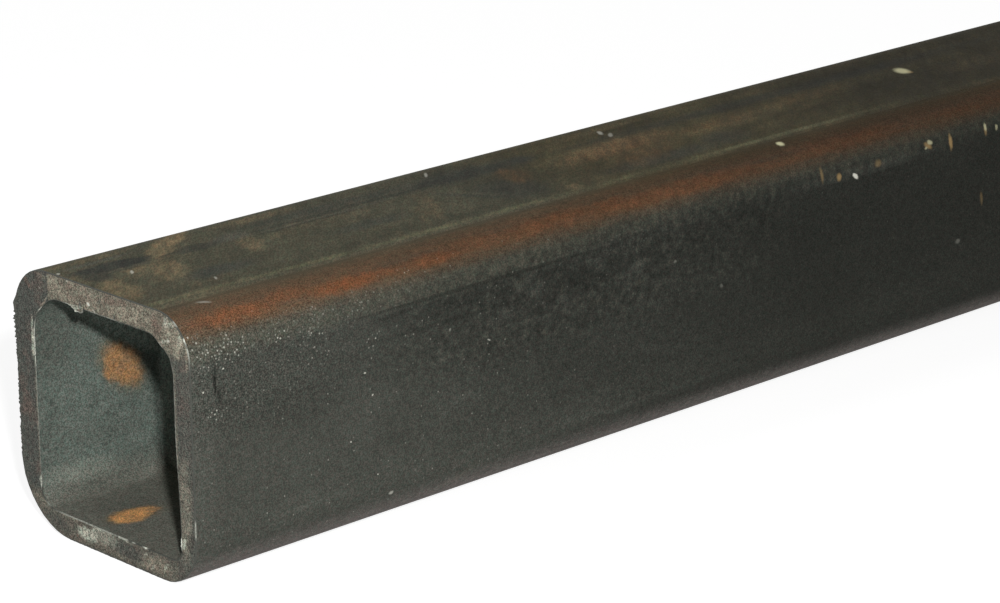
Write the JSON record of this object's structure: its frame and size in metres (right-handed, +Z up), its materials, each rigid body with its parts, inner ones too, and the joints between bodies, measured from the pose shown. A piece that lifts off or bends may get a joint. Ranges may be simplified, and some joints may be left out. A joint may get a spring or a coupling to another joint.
{
  "type": "square steel tube",
  "caption": "Length of seam-welded square steel tube with round corners, dark mill scale and patches of light rust, sawn square at each end.",
  "frame": {"origin": "on the floor, under the middle of the tube", "axes": "+X along the tube away from the sawn end shown in the picture, +Y towards its back, +Z up; the seam weld is in the top wall, a little towards the back"},
  "size_m": [0.6096, 0.0508, 0.0508],
  "materials": {
    "rolled_steel": "hot-rolled mill scale under a film of oil, with light rust along one corner and bare sawn ends"
  },
  "bodies": {
    "root": {"square_tube": "rolled_steel"}
  },
  "joints": []
}
